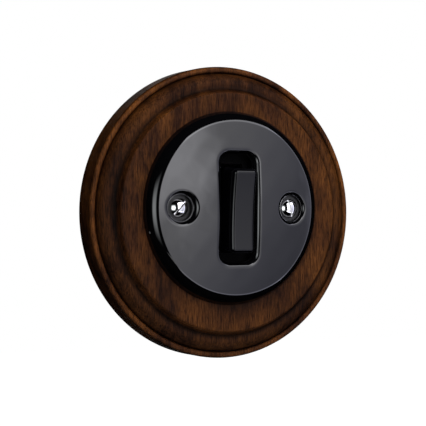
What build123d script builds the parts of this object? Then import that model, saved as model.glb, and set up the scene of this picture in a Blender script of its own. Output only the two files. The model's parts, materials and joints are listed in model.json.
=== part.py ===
from build123d import *
import os
from math import cos, hypot, radians, sin, sqrt

# A round flush wall switch: a turned wooden frame, a domed ceramic cover on two screws, and a
# narrow rocker key whose mechanism hangs from a steel plate in a round wall box.
# Everything is modelled lying on its back: X to the right, Y up the wall, Z out of the wall,
# with the wall plane at Z 0 and the switch axis at the origin. save() then stands it up, so
# that in the files +Z is up, the front looks to -Y and the wall plane is Y 0.
WALL = Plane(origin=(0, 0, 0), x_dir=(1, 0, 0), z_dir=(0, -1, 0))

# Clearances
SEAT_GAP = 0.3
RUNNING_GAP = 0.05
THREAD_PLAY = 0.2

# Wooden frame, from its rim inwards
FRAME_R = 55.0
FRAME_H = 16.0
FRAME_DROP = 1.5
FRAME_BACK_CHAMFER = 0.6
RIM_H = 8.9
BEAD_WIDTH = 2.5
BEAD_RISE = 1.5
GROOVE_LIFT = 0.6
BAND_WIDTH = 5.1
BAND_RISE = 3.4
COVE_WIDTH = 2.2
PLATEAU_ROUND = 1.0
REBATE_SPARE = 0.8

# Ceramic cover
COVER_R = 36.4
COVER_RIM_H = 3.6
COVER_SEAT = 3.4
COVER_WALL = 3.3
DOME_R = 180.0
COVER_EDGE_ROUND = 5.4
COVER_INNER_CHAMFER = 1.2
COVER_SEAM_DEG = 45.0
WINDOW_WIDTH = 15.4
WINDOW_LENGTH = 43.4
WINDOW_CORNER = 4.0
WINDOW_RIM_ROUND = 2.2
SCREW_OFFSET = 23.2
RECESS_R = 4.7
RECESS_DEPTH = 3.2
RECESS_RIM_ROUND = 1.4
BOSS_WALL = 2.2

# Cover screws and the threaded pillars that take them
HEAD_R = 3.9
HEAD_EDGE = 0.9
HEAD_DOME = 1.3
HEAD_SLOT = 1.0
HEAD_SLOT_DEPTH = 1.2
LEFT_SLOT_DEG = 45.0
RIGHT_SLOT_DEG = 107.0
SCREW_R = 1.75
SCREW_LENGTH = 14.6
PILLAR_R = 3.4
PILLAR_SPIGOT_R = 2.6
PILLAR_H = 12.0

# Support plate
PLATE_R = 36.0
PLATE_T = 1.2
PLATE_WINDOW_X = 17.0
PLATE_WINDOW_Y = 26.0
BOX_SPACING = 60.0
BOX_SLOT_LENGTH = 7.0
BOX_SLOT_R = 2.1

# Mechanism cap in front of the plate, with the two cheeks that carry the key
CAP_X = 34.0
CAP_Y = 44.0
CAP_WALL = 2.0
CORNER_ROUND = 4.0
CHEEK_T = 2.5
CHEEK_Y = 11.0
CHEEK_FOOT = 6.0
KEY_WELL_GAP = 1.0

# Mechanism base behind the plate, inside the wall box
BASE_X = 38.0
BASE_DEPTH = 20.0
BASE_WALL = 2.0
BASE_FLOOR = 3.0
ASSEMBLY_X = 13.0
ASSEMBLY_Y = 17.5
ASSEMBLY_BOSS_R = 3.2
ASSEMBLY_R = 1.5
ASSEMBLY_HEAD_R = 2.6
ASSEMBLY_HEAD_T = 1.6
ASSEMBLY_REACH = 11.0
SMALL_SLOT = 0.7

# Rocker key and the parts in its tail
PIVOT_H = 10.5
KEY_SWING_DEG = 4.3
KEY_WIDTH = 8.4
KEY_LENGTH = 31.3
KEY_PROUD = 3.7
KEY_HOLLOW = 1.1
KEY_EDGE_ROUND = 0.9
KEY_SKIRT_H = 13.3
KEY_HUB_R = 3.4
KEY_PIN_R = 1.25
CHEEK_GAP = 0.35
TAIL_R = 3.2
TAIL_END = 0.5
BARREL_R = 1.9
BARREL_TOP = 7.5
PLUNGER_GAP = 0.1
PLUNGER_TOP = 3.2
SPRING_WIRE_R = 0.25
SPRING_TURNS = 4

# Contact rocker below the plunger
CONTACT_PIVOT_H = -5.0
CONTACT_SWING_DEG = 8.6
ARM_LENGTH = 10.0
ARM_WIDTH = 4.8
ARM_BOTTOM = 1.1
ARM_T = 1.2
CONTACT_HUB_R = 1.9
CONTACT_PIN_R = 0.8
POINT_OFFSET = 9.0
POINT_R = 1.4
POINT_T = 0.8
POINT_GAP = 0.25

# Brass parts on the floor of the base
EAR_GAP = 0.4
EAR_T = 1.0
EAR_Y = 6.0
STRIP_T = 1.0
BLADE_T = 0.8
TERMINAL_ALONG = 8.0
TERMINAL_ACROSS = 7.0
TERMINAL_H = 8.0
TERMINAL_WALL_GAP = 0.5
WIRE_R = 1.6
WIRE_ENTRY_R = 1.8
CLAMP_R = 1.5
CLAMP_HEAD_R = 2.1
CLAMP_HEAD_T = 1.6
CLAMP_ACCESS_R = 2.4
CLAMP_LIFT = 4.5

# Heights and places that follow from the sizes above
HALF_CHORD = sin(radians(45))
FRAME_BORE_R = COVER_R - COVER_SEAT
COVER_RIM_TOP = FRAME_H + COVER_RIM_H
CROWN_H = COVER_RIM_TOP + DOME_R - sqrt(DOME_R**2 - COVER_R**2)
CAP_TOP = FRAME_H
KEY_TIP_H = CROWN_H + KEY_PROUD
BASE_Y = CAP_Y
FLOOR_H = BASE_FLOOR - BASE_DEPTH
TERMINAL_TOP = FLOOR_H + TERMINAL_H
KEY_GAP_X = KEY_WIDTH / 2 + CHEEK_GAP
PIN_END = KEY_GAP_X + CHEEK_T
EAR_IN = ARM_WIDTH / 2 + EAR_GAP
EAR_OUT = EAR_IN + EAR_T
ARM_TOP = ARM_BOTTOM + ARM_T
TIP_H = CONTACT_PIVOT_H + ARM_TOP + SEAT_GAP
ASSEMBLY_PLACES = ((-ASSEMBLY_X, ASSEMBLY_Y), (ASSEMBLY_X, -ASSEMBLY_Y))


def dome_h(radius, inset=0.0):
    """Height of the cover's spherical face, or of the same face set in by a wall."""
    centre_h = CROWN_H - DOME_R
    return centre_h + sqrt((DOME_R - inset) ** 2 - radius**2)


def rod(radius, low, high, x=0.0, y=0.0):
    """Round bar along Z between two heights."""
    return Pos(x, y, low) * extrude(Circle(radius), high - low)


def cross_rod(radius, reach, height):
    """Round bar along X, as long on both sides of the middle."""
    return Pos(0, 0, height) * extrude(Plane.YZ * Circle(radius), reach, both=True)


def block(x_low, x_high, y_low, y_high, low, high):
    """Plain box between two corners."""
    size = (x_high - x_low, y_high - y_low, high - low)
    middle = ((x_low + x_high) / 2, (y_low + y_high) / 2, (low + high) / 2)
    return Pos(*middle) * Box(*size)


def turned(outline):
    """Solid of revolution about Z from an outline drawn in radius and height."""
    return revolve(Plane.XZ * make_face(outline), Axis.Z)


def slotted(head, x, y, top, angle, width, depth, reach):
    """Cuts a screwdriver slot across a head."""
    cutter = Pos(x, y, top - depth / 2) * Rot(0, 0, angle) * Box(2 * reach, width, depth)
    return head - cutter


def tilted(shape, height, degrees):
    """Turns a shape about the X-parallel line at a height on the switch axis."""
    return shape.rotate(Axis((0, 0, height), (1, 0, 0)), degrees)


def wooden_frame():
    """Turned ring: rim, bead, groove, convex band, cove and the flat plateau."""
    groove_r = FRAME_R - BEAD_WIDTH
    band_r = groove_r - BAND_WIDTH
    plateau_r = band_r - COVE_WIDTH
    groove_h = RIM_H + GROOVE_LIFT
    band_h = groove_h + BAND_RISE
    cove_h = FRAME_H - PLATEAU_ROUND
    rebate_r = PLATE_R + FRAME_DROP + REBATE_SPARE
    rebate_h = PLATE_T + SEAT_GAP
    soft = PLATEAU_ROUND * (1 - HALF_CHORD)
    outline = [
        Line((FRAME_R, FRAME_BACK_CHAMFER), (FRAME_R, RIM_H)),
        ThreePointArc(
            (FRAME_R, RIM_H), (FRAME_R - BEAD_WIDTH / 2, RIM_H + BEAD_RISE), (groove_r, groove_h)
        ),
        ThreePointArc(
            (groove_r, groove_h),
            (band_r + BAND_WIDTH * HALF_CHORD, groove_h + BAND_RISE * HALF_CHORD),
            (band_r, band_h),
        ),
        ThreePointArc(
            (band_r, band_h),
            (band_r - COVE_WIDTH * HALF_CHORD, cove_h - (cove_h - band_h) * HALF_CHORD),
            (plateau_r, cove_h),
        ),
        ThreePointArc(
            (plateau_r, cove_h), (plateau_r - soft, FRAME_H - soft), (plateau_r - PLATEAU_ROUND, FRAME_H)
        ),
        Polyline(
            (plateau_r - PLATEAU_ROUND, FRAME_H),
            (FRAME_BORE_R, FRAME_H),
            (FRAME_BORE_R, rebate_h),
            (rebate_r, rebate_h),
            (rebate_r, 0),
            (FRAME_R - FRAME_BACK_CHAMFER, 0),
            (FRAME_R, FRAME_BACK_CHAMFER),
        ),
    ]
    return Pos(0, -FRAME_DROP, 0) * turned(outline)


def cover_blank():
    """Outer form of the cover, solid: domed face and an edge that rounds down to the plateau."""
    outline = make_face(
        [
            Line((0, 0), (COVER_R, 0)),
            Line((COVER_R, 0), (COVER_R, COVER_RIM_TOP)),
            RadiusArc((COVER_R, COVER_RIM_TOP), (0, CROWN_H), -DOME_R),
            Line((0, CROWN_H), (0, 0)),
        ]
    )
    corners = outline.vertices().sort_by(Axis.X)[-2:].sort_by(Axis.Y)
    outline = fillet(corners[1], COVER_EDGE_ROUND)
    whole = Rot(0, 0, COVER_SEAM_DEG) * revolve(Plane.XZ * outline, Axis.Z)
    return split(whole, Plane(origin=(0, 0, FRAME_H)), keep=Keep.TOP)


def cover_hollow():
    """Inside of the cover, one wall thickness in from its outer form."""
    inner_r = COVER_R - COVER_WALL
    face_h = dome_h(inner_r, COVER_WALL)
    outline = make_face(
        [
            Line((0, FRAME_H), (inner_r, FRAME_H)),
            Line((inner_r, FRAME_H), (inner_r, face_h)),
            RadiusArc((inner_r, face_h), (0, CROWN_H - COVER_WALL), COVER_WALL - DOME_R),
            Line((0, CROWN_H - COVER_WALL), (0, FRAME_H)),
        ]
    )
    corners = outline.vertices().sort_by(Axis.X)[-2:].sort_by(Axis.Y)
    outline = chamfer(corners[1], min(COVER_INNER_CHAMFER, (face_h - FRAME_H) / 2))
    return Rot(0, 0, COVER_SEAM_DEG) * revolve(Plane.XZ * outline, Axis.Z)


def recess_floor():
    """Height of the seat under each cover screw's head."""
    return dome_h(SCREW_OFFSET) - RECESS_DEPTH


def ceramic_cover():
    """Glazed shell with the rounded window and the two sunk screw seats."""
    floor_h = recess_floor()
    blank = cover_blank()
    cover = blank - cover_hollow()
    for side in (-1, 1):
        boss = rod(RECESS_R + BOSS_WALL, FRAME_H + SEAT_GAP, CROWN_H, side * SCREW_OFFSET)
        cover += boss & blank
    window = extrude(RectangleRounded(WINDOW_WIDTH, WINDOW_LENGTH, WINDOW_CORNER), 2 * CROWN_H)
    cover -= window
    for side in (-1, 1):
        cover -= rod(RECESS_R, floor_h, CROWN_H, side * SCREW_OFFSET)
    cover = fillet(rim_edges(cover, WINDOW_WIDTH / 2, WINDOW_LENGTH / 2, 0), WINDOW_RIM_ROUND)
    for side in (-1, 1):
        cover = fillet(rim_edges(cover, RECESS_R, RECESS_R, side * SCREW_OFFSET), RECESS_RIM_ROUND)
        cover -= rod(SCREW_R + THREAD_PLAY, 0, CROWN_H, side * SCREW_OFFSET)
    return cover


def rim_edges(cover, half_x, half_y, x):
    """Edges where an opening breaks through the domed face."""
    found = []
    for edge in cover.edges():
        box = edge.bounding_box()
        middle = edge @ 0.5
        inside_x = box.min.X > x - half_x - SEAT_GAP and box.max.X < x + half_x + SEAT_GAP
        inside_y = box.min.Y > -half_y - SEAT_GAP and box.max.Y < half_y + SEAT_GAP
        on_face = abs(middle.Z - dome_h(hypot(middle.X, middle.Y))) < SEAT_GAP
        if inside_x and inside_y and on_face:
            found.append(edge)
    return found


def cover_screw(side, slot_deg):
    """Domed slotted screw that holds the cover down on the frame."""
    seat = recess_floor()
    edge_h = seat + HEAD_EDGE
    top = edge_h + HEAD_DOME
    outline = [
        Line((0, seat), (HEAD_R, seat)),
        Line((HEAD_R, seat), (HEAD_R, edge_h)),
        RadiusArc((HEAD_R, edge_h), (0, top), -(HEAD_R**2 + HEAD_DOME**2) / (2 * HEAD_DOME)),
        Line((0, top), (0, seat)),
    ]
    x = side * SCREW_OFFSET
    head = Pos(x, 0, 0) * turned(outline)
    head = slotted(head, x, 0, top, slot_deg, HEAD_SLOT, HEAD_SLOT_DEPTH, 2 * HEAD_R)
    return head + rod(SCREW_R, seat - SCREW_LENGTH, seat, x)


def pillar(side):
    """Threaded bush riveted into the plate, for one cover screw."""
    x = side * SCREW_OFFSET
    bush = rod(PILLAR_R, PLATE_T, PILLAR_H, x) + rod(PILLAR_SPIGOT_R, 0, PLATE_T, x)
    return bush - rod(SCREW_R, 0, PILLAR_H, x)


def support_plate():
    """Round steel plate with the mechanism's window and the two slots for the wall box."""
    plate = rod(PLATE_R, 0, PLATE_T)
    plate -= extrude(Rectangle(PLATE_WINDOW_X, PLATE_WINDOW_Y), PLATE_T)
    for side in (-1, 1):
        slot = Pos(side * BOX_SPACING / 2, 0) * SlotOverall(BOX_SLOT_LENGTH, 2 * BOX_SLOT_R)
        plate -= extrude(slot, PLATE_T)
        plate -= rod(PILLAR_SPIGOT_R, 0, PLATE_T, side * SCREW_OFFSET)
    for x, y in ASSEMBLY_PLACES:
        plate -= rod(ASSEMBLY_R + THREAD_PLAY, 0, PLATE_T, x, y)
    return plate


def mechanism_cap():
    """Moulded cap with the key's well and the cheeks that carry its pin."""
    under = CAP_TOP - CAP_WALL
    cap = Pos(0, 0, PLATE_T) * extrude(RectangleRounded(CAP_X, CAP_Y, CORNER_ROUND), CAP_TOP - PLATE_T)
    inner = RectangleRounded(CAP_X - 2 * CAP_WALL, CAP_Y - 2 * CAP_WALL, CORNER_ROUND - CAP_WALL)
    cap -= Pos(0, 0, PLATE_T) * extrude(inner, under - PLATE_T)
    cap += block(-PIN_END, PIN_END, -CHEEK_Y / 2, CHEEK_Y / 2, CHEEK_FOOT, under)
    for x, y in ASSEMBLY_PLACES:
        cap += rod(ASSEMBLY_BOSS_R, PLATE_T, under, x, y)
    well_y = KEY_LENGTH / 2 + KEY_WELL_GAP
    cap -= block(-KEY_GAP_X, KEY_GAP_X, -well_y, well_y, 0, CAP_TOP)
    cap -= cross_rod(KEY_PIN_R, PIN_END, PIVOT_H)
    for x, y in ASSEMBLY_PLACES:
        cap -= rod(ASSEMBLY_R + THREAD_PLAY, 0, CAP_TOP, x, y)
        cap -= rod(ASSEMBLY_HEAD_R + THREAD_PLAY, under, CAP_TOP, x, y)
    return cap


def terminal_frames():
    """Place and direction of each terminal: its middle, and the way to the nearest wall."""
    along_y = BASE_Y / 2 - BASE_WALL - TERMINAL_WALL_GAP - TERMINAL_ALONG / 2
    along_x = BASE_X / 2 - BASE_WALL - TERMINAL_WALL_GAP - TERMINAL_ALONG / 2
    return {
        "upper_terminal": Pos(0, along_y, FLOOR_H) * Rot(0, 0, 90),
        "lower_terminal": Pos(0, -along_y, FLOOR_H) * Rot(0, 0, -90),
        "common_terminal": Pos(along_x, 0, FLOOR_H),
    }


def mechanism_base():
    """Moulded tub in the wall box, with the wire entries and the ways in to the clamp screws."""
    base = Pos(0, 0, -BASE_DEPTH) * extrude(RectangleRounded(BASE_X, BASE_Y, CORNER_ROUND), BASE_DEPTH)
    inner = RectangleRounded(BASE_X - 2 * BASE_WALL, BASE_Y - 2 * BASE_WALL, CORNER_ROUND - BASE_WALL)
    base -= Pos(0, 0, FLOOR_H) * extrude(inner, -FLOOR_H)
    for x, y in ASSEMBLY_PLACES:
        base += rod(ASSEMBLY_BOSS_R, FLOOR_H, 0, x, y)
        base -= rod(ASSEMBLY_R, -ASSEMBLY_REACH, 0, x, y)
    wall_x = TERMINAL_ALONG / 2 + TERMINAL_WALL_GAP
    for frame in terminal_frames().values():
        base -= frame * rod(WIRE_ENTRY_R, -BASE_FLOOR, 0)
        access = extrude(Plane.YZ * Circle(CLAMP_ACCESS_R), 2 * BASE_WALL)
        base -= frame * Pos(wall_x - BASE_WALL / 2, 0, CLAMP_LIFT) * access
    return base


def terminal_block():
    """Brass clamp with a hole for the wire and a threaded hole for the clamp screw."""
    half = TERMINAL_ALONG / 2
    across = TERMINAL_ACROSS / 2
    clamp = block(-half, half, -across, across, 0, TERMINAL_H)
    clamp -= rod(WIRE_R, 0, TERMINAL_H)
    return clamp - Pos(0, 0, CLAMP_LIFT) * extrude(Plane.YZ * Circle(CLAMP_R), half)


def clamp_screw():
    """Short slotted screw that presses on the wire."""
    start = TERMINAL_ALONG / 2 + SEAT_GAP
    shank_length = start - WIRE_R - SEAT_GAP
    shank = Pos(start - shank_length, 0, CLAMP_LIFT) * extrude(Plane.YZ * Circle(CLAMP_R), shank_length)
    head = Pos(start, 0, CLAMP_LIFT) * extrude(Plane.YZ * Circle(CLAMP_HEAD_R), CLAMP_HEAD_T)
    cut_x = start + CLAMP_HEAD_T
    slot = block(
        cut_x - CLAMP_HEAD_T / 2, cut_x, -CLAMP_HEAD_R, CLAMP_HEAD_R, CLAMP_LIFT - SMALL_SLOT / 2,
        CLAMP_LIFT + SMALL_SLOT / 2,
    )
    return shank + (head - slot)


def assembly_screw(x, y):
    """Long screw that clamps cap, plate and base together."""
    under = CAP_TOP - CAP_WALL
    top = under + ASSEMBLY_HEAD_T
    head = rod(ASSEMBLY_HEAD_R, under, top, x, y)
    head = slotted(head, x, y, top, 0, SMALL_SLOT, ASSEMBLY_HEAD_T / 2, ASSEMBLY_HEAD_R)
    return head + rod(ASSEMBLY_R, -ASSEMBLY_REACH, under, x, y)


def rocker_key():
    """Key with its hollowed face, hub and tail barrel, level; it is tilted to rest afterwards."""
    half = KEY_LENGTH / 2
    hub_foot = PIVOT_H - KEY_HUB_R / 2
    outline = [
        ThreePointArc((-half, KEY_TIP_H), (0, KEY_TIP_H - KEY_HOLLOW), (half, KEY_TIP_H)),
        Polyline(
            (half, KEY_TIP_H),
            (half, KEY_SKIRT_H),
            (TAIL_R, hub_foot),
            (-TAIL_R, hub_foot),
            (-half, KEY_SKIRT_H),
            (-half, KEY_TIP_H),
        ),
    ]
    key = extrude(Plane.YZ * make_face(outline), KEY_WIDTH / 2, both=True)
    key = fillet(key.faces().sort_by(Axis.Z)[-1].edges(), KEY_EDGE_ROUND)
    key += cross_rod(KEY_HUB_R, KEY_WIDTH / 2, PIVOT_H)
    key += rod(TAIL_R, TAIL_END, PIVOT_H)
    key -= cross_rod(KEY_PIN_R + RUNNING_GAP, KEY_WIDTH, PIVOT_H)
    key -= rod(BARREL_R, TAIL_END, BARREL_TOP)
    return tilted(key, PIVOT_H, KEY_SWING_DEG)


def toggle_plunger():
    """Round-nosed pin that slides in the key's tail and pushes the contact rocker over."""
    radius = BARREL_R - PLUNGER_GAP
    nose_h = TIP_H + radius
    plunger = rod(radius, nose_h, PLUNGER_TOP)
    plunger += Pos(0, 0, nose_h) * Sphere(radius)
    return tilted(plunger, PIVOT_H, KEY_SWING_DEG)


def toggle_spring():
    """Coil spring between the barrel's closed end and the plunger."""
    low = PLUNGER_TOP + SPRING_WIRE_R
    height = BARREL_TOP - SPRING_WIRE_R - low
    coil_r = BARREL_R - PLUNGER_GAP - 2 * SPRING_WIRE_R
    path = Helix(height / SPRING_TURNS, height, coil_r, center=(0, 0, low))
    section = Plane(origin=path @ 0, z_dir=path % 0) * Circle(SPRING_WIRE_R)
    spring = sweep(section, path, is_frenet=True)
    return tilted(spring, PIVOT_H, KEY_SWING_DEG)


def contact_rocker():
    """Current-carrying lever on its own pin below the plunger."""
    lever = block(-ARM_WIDTH / 2, ARM_WIDTH / 2, -ARM_LENGTH, ARM_LENGTH, ARM_BOTTOM, ARM_TOP)
    lever += cross_rod(CONTACT_HUB_R, ARM_WIDTH / 2, 0)
    lever -= cross_rod(CONTACT_PIN_R + RUNNING_GAP, ARM_WIDTH, 0)
    return tilted(Pos(0, 0, CONTACT_PIVOT_H) * lever, CONTACT_PIVOT_H, -CONTACT_SWING_DEG)


def moving_contact(side):
    """Contact point under one arm of the lever."""
    low = CONTACT_PIVOT_H + ARM_BOTTOM - POINT_T
    point = rod(POINT_R, low, low + POINT_T, 0, side * POINT_OFFSET)
    return tilted(point, CONTACT_PIVOT_H, -CONTACT_SWING_DEG)


def closed_point_h():
    """Lowest height that a moving contact reaches."""
    reach = POINT_OFFSET + POINT_R
    swing = radians(CONTACT_SWING_DEG)
    return CONTACT_PIVOT_H + (ARM_BOTTOM - POINT_T) * cos(swing) - reach * sin(swing)


def contact_blade(side):
    """Brass strip on a terminal that reaches in under the lever's arm, with its contact point."""
    outer = BASE_Y / 2 - BASE_WALL - TERMINAL_WALL_GAP
    inner = POINT_OFFSET - POINT_R - STRIP_T / 2
    y_low, y_high = sorted((side * inner, side * outer))
    top = TERMINAL_TOP + BLADE_T
    blade = block(-ARM_WIDTH / 2, ARM_WIDTH / 2, y_low, y_high, TERMINAL_TOP, top)
    return blade + rod(POINT_R, top, closed_point_h() - POINT_GAP, 0, side * POINT_OFFSET)


def common_bracket():
    """Brass fork that carries the contact rocker's pin and leads to the common terminal."""
    terminal_in = BASE_X / 2 - BASE_WALL - TERMINAL_WALL_GAP - TERMINAL_ALONG
    half = EAR_Y / 2
    top = CONTACT_PIVOT_H + CONTACT_HUB_R
    fork = block(-EAR_OUT, EAR_OUT, -half, half, FLOOR_H, top)
    fork -= block(-EAR_IN, EAR_IN, -half, half, FLOOR_H + STRIP_T, top)
    fork += block(EAR_IN, terminal_in, -half, half, FLOOR_H, FLOOR_H + STRIP_T)
    return fork - cross_rod(CONTACT_PIN_R, EAR_OUT, CONTACT_PIVOT_H)


def save(node, solids):
    """Stands a piece up against the wall and writes its file."""
    stood = [solid.moved(WALL.location) for piece in solids for solid in piece.solids()]
    whole = stood[0] if len(stood) == 1 else Compound(children=stood)
    export_step(whole, os.path.join("parts", node + ".step"))


def main():
    os.makedirs("parts", exist_ok=True)
    save("wooden_frame", [wooden_frame()])
    save("ceramic_cover", [ceramic_cover()])
    for name, side, slot_deg in (("left", -1, LEFT_SLOT_DEG), ("right", 1, RIGHT_SLOT_DEG)):
        save("cover_screw_" + name, [cover_screw(side, slot_deg)])
        save("pillar_" + name, [pillar(side)])
    save("support_plate", [support_plate()])
    save("mechanism_cap", [mechanism_cap()])
    save("mechanism_base", [mechanism_base()])
    save("assembly_screws", [assembly_screw(x, y) for x, y in ASSEMBLY_PLACES])
    save("rocker_key", [rocker_key()])
    save("key_pin", [cross_rod(KEY_PIN_R, PIN_END, PIVOT_H)])
    save("toggle_plunger", [toggle_plunger()])
    save("toggle_spring", [toggle_spring()])
    save("contact_rocker", [contact_rocker()])
    save("contact_pin", [cross_rod(CONTACT_PIN_R, EAR_OUT, CONTACT_PIVOT_H)])
    save("moving_contacts", [moving_contact(side) for side in (-1, 1)])
    save("upper_contact", [contact_blade(1)])
    save("lower_contact", [contact_blade(-1)])
    save("common_bracket", [common_bracket()])
    for node, frame in terminal_frames().items():
        save(node, [frame * terminal_block()])
    save("clamp_screws", [frame * clamp_screw() for frame in terminal_frames().values()])


main()
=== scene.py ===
import json
import math

import bmesh
import bpy
from mathutils import Matrix, Vector
from mathutils.geometry import delaunay_2d_cdt


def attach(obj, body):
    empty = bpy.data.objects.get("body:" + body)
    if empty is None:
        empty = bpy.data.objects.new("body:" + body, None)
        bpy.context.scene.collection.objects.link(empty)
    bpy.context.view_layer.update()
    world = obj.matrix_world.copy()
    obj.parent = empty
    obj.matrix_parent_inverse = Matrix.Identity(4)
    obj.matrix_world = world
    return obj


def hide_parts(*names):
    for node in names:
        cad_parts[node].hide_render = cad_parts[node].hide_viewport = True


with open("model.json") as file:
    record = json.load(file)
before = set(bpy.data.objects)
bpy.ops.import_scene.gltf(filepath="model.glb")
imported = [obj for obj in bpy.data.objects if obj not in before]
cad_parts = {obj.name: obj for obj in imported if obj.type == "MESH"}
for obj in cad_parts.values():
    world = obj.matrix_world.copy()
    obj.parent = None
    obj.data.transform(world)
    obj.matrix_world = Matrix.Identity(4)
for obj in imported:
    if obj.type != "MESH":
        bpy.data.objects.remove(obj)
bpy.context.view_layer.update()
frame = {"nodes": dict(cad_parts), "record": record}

# Looks of the round ceramic switch. The object's sizes below are in millimetres, the camera's and
# the stage's are in metres, and so is the scene. X is right, Z is up the wall and -Y is out of
# the wall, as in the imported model.
MM = 0.001

# Camera, fitted to the photograph's 426 by 426 frame
IMAGE_PX = 426.0
FOCAL_PX = 1500.0
SENSOR = 36.0
CAMERA_TURN = math.radians(-27.40)
CAMERA_RISE = math.radians(-0.35)
CAMERA_DISTANCE = 0.5760
CAMERA_RIGHT = 0.00054
CAMERA_UP = -0.00172

# Turned frame, in millimetres from its own axis, which lies a little below the switch axis
FRAME_DROP = 1.5
FRAME_R = 55.0
FRAME_H = 16.0
BORE_R = 33.0
RIM_H = 8.9
BEAD_WIDTH = 2.5
BEAD_BULGE = 1.25
GROOVE_LIFT = 0.6
BAND_WIDTH = 5.1
BAND_RISE = 3.4
BAND_BULGE = 1.25
COVE_WIDTH = 2.2
COVE_BULGE = 0.55
PLATEAU_ROUND = 1.0
PLATEAU_BULGE = 0.29
BACK_CHAMFER = 0.6
REBATE_R = 38.3
REBATE_H = 1.5
FRAME_SEGMENTS = 256
FRAME_SHARP_DEGREES = 50.0

# Glazed cover: a domed face, a rolled edge, and rolled rims where the glaze runs into the openings
COVER_R = 36.4
COVER_RIM_TOP = 19.6
DOME_R = 180.0
COVER_WALL = 3.3
EDGE_ROUND = 5.4
INNER_R = COVER_R - COVER_WALL
CROWN_H = COVER_RIM_TOP + DOME_R - math.sqrt(DOME_R**2 - COVER_R**2)
EDGE_CENTRE_R = COVER_R - EDGE_ROUND
EDGE_CENTRE_H = CROWN_H - DOME_R + math.sqrt((DOME_R - EDGE_ROUND) ** 2 - EDGE_CENTRE_R**2)
EDGE_START_R = EDGE_CENTRE_R * DOME_R / (DOME_R - EDGE_ROUND)
WINDOW_HALF_X = 6.95
WINDOW_HALF_Z = 20.1
WINDOW_CORNER = 3.5
WINDOW_ROLL = (2.7, 2.4)
SCREW_OFFSET = 23.2
RECESS_R = 4.8
RECESS_ROLL = (2.3, 2.1)
RECESS_DEPTH = 3.2
SEAT_H = CROWN_H - DOME_R + math.sqrt(DOME_R**2 - SCREW_OFFSET**2) - RECESS_DEPTH
SCREW_HOLE_R = 1.95
BOSS_R = 6.9
BOSS_FOOT = 16.3
COVER_SEGMENTS = 240
RECESS_SEGMENTS = 96
EDGE_STEPS = 22

# A rolled rim falls away from the face as this power of the way across it
ROLL_POWER = 2.05
ROLL_STEPS = 20

# Net of points that fills a face: their spacing on both sides, the spacing of its rows as a share of
# that, and the share of it that stays clear of an edge
FACE_STEP = 1.1
UNDER_STEP = 4 * FACE_STEP
ROW_SHARE = 0.866
NET_MARGIN = 0.55

# The glaze turns dull between two depths below the face, inside the cover's rolled edge. The spans
# are what the two colour ramps cover.
DULL_START = 1.3
DULL_FULL = 2.3
DULL_DEPTH_SPAN = 5.0
DULL_INNER_R = 29.5
DULL_OUTER_R = 30.8
DULL_RADIUS_SPAN = 50.0

# Oblong outlines: points of a corner and of the runs across and up, and the least run across
CORNER_STEPS = 12
ACROSS_STEPS = 6
UPRIGHT_STEPS = 26
LEAST_RUN = 0.1

# Edges turn sharp on a mesh above this angle
SHARP_DEGREES = 35.0

# Cover screws
HEAD_R = 3.5
HEAD_EDGE = 0.7
HEAD_DOME = 1.3
HEAD_SLOT = 0.6
HEAD_SLOT_DEPTH = 1.1
LEFT_SLOT_DEG = 47.0
RIGHT_SLOT_DEG = 106.0
SHANK_R = 1.75
SHANK_LENGTH = 14.6
HEAD_SEGMENTS = 72
HEAD_STEPS = 15
CUTTER_CLEARANCE = 1.0

# Rocker key, level; it leans to rest about the pivot on the switch axis
KEY_HALF_X = 5.1
KEY_HALF_Z = 15.65
KEY_CORNER = 1.9
KEY_ROUND = 1.8
KEY_TIP_H = CROWN_H + 3.7
KEY_HOLLOW = 1.1
KEY_FACE_R = (KEY_HALF_Z**2 + KEY_HOLLOW**2) / (2 * KEY_HOLLOW)
KEY_STEPS = 14
KEY_SHOULDER_H = 17.8
KEY_STEM_X = 4.2
KEY_SKIRT_H = 13.3
KEY_LEAN = math.radians(4.3)
PIVOT_H = 10.5
TAIL_R = 3.2
TAIL_TOP = 8.8
TAIL_END = 0.5
BARREL_R = 1.9
BARREL_TOP = 7.5
TAIL_FLAT = 0.01

# Slow swells of the glaze: height, waves across and up, and phase
SWELLS = (
    (0.016, 0.42, 0.17, 0.6),
    (0.014, -0.23, 0.39, 2.1),
    (0.010, 0.61, -0.48, 4.0),
    (0.008, 0.35, 0.83, 1.2),
)
SWELL_FADE = 4.0

# Wood colours: the ground from dark to light, and the warm patches over it
WOOD_DARK = (0.017, 0.0055, 0.0022)
WOOD_LIGHT = (0.066, 0.0215, 0.0060)
WOOD_WARM = (0.140, 0.047, 0.0090)

# Light levels of the studio
FILL_LEVEL = 0.16
MAIN_DIM = 0.5
MAIN_BRIGHT = 1.5
CORNER_BRIGHT = 3.3
STRIP_BRIGHT = 3.0
RIGHT_BRIGHT = 1.3
TOP_BRIGHT = 1.6
LOW_BRIGHT = 1.5

# Wide panel: what the ways left and up count towards its bright side, and where its soft steps
# start and end, as shares of its width or height
MAIN_LEAN_LEFT = 0.62
MAIN_LEAN_UP = 0.56
MAIN_STEP = (0.28, 0.85)
TOP_STEP = (0.80, 0.88)
LOW_STEP = (0.75, 0.84)
RIGHT_STEP = (0.80, 1.00)
CORNER_ACROSS_STEP = (0.56, 0.84)
CORNER_UP_STEP = (0.36, 0.66)
CORNER_WOBBLE = 0.30
MAIN_DIM_TINT = (0.93, 0.94, 1.16)
MAIN_BRIGHT_TINT = (0.98, 0.975, 1.03)

# Tall strip: where it is full, from its ends and from its sides
STRIP_END_FADE = 0.5
STRIP_SIDE_FADE = 0.3

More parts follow.
